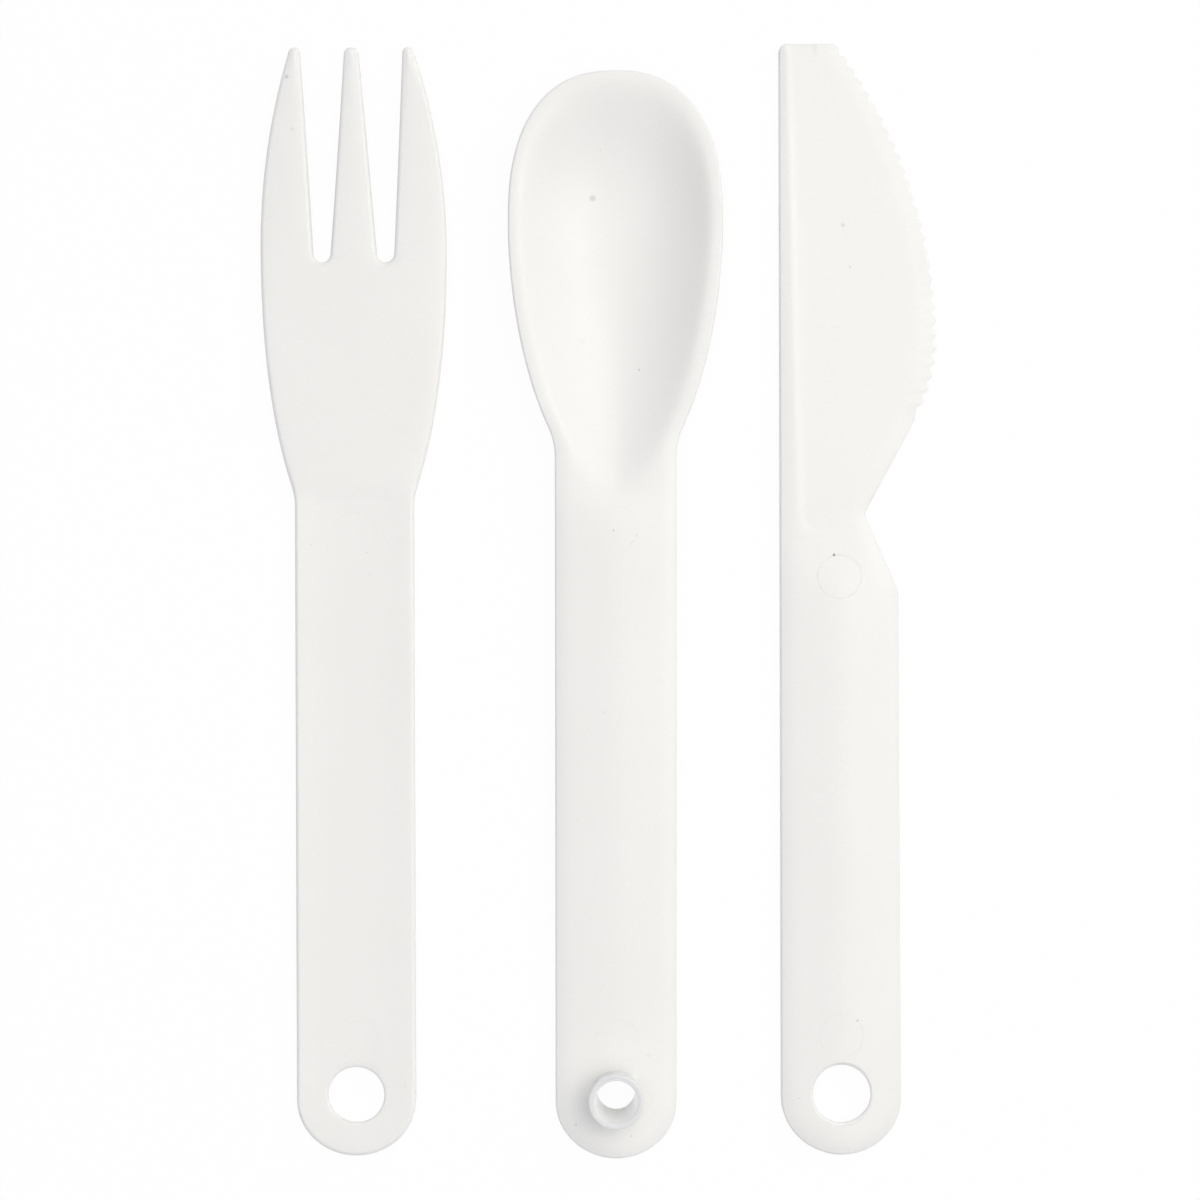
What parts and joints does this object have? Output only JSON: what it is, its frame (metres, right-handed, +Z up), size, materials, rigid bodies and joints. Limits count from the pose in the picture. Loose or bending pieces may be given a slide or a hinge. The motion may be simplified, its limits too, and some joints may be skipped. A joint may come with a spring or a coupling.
{
  "type": "plastic cutlery set",
  "caption": "Loose fork, spoon and knife of moulded plastic, laid side by side; a hollow peg on the spoon's handle matches the round holes in the others.",
  "frame": {"origin": "centre of the set's footprint, on the surface that the pieces lie on", "axes": "+X across the set from the fork to the knife, +Y along the handles towards the heads, +Z up from the surface"},
  "size_m": [0.103, 0.1696, 0.0093],
  "materials": {
    "white_plastic": "white injection-moulded plastic with a soft satin sheen"
  },
  "bodies": {
    "root": {"fork": "white_plastic", "spoon": "white_plastic", "knife": "white_plastic"}
  },
  "joints": []
}
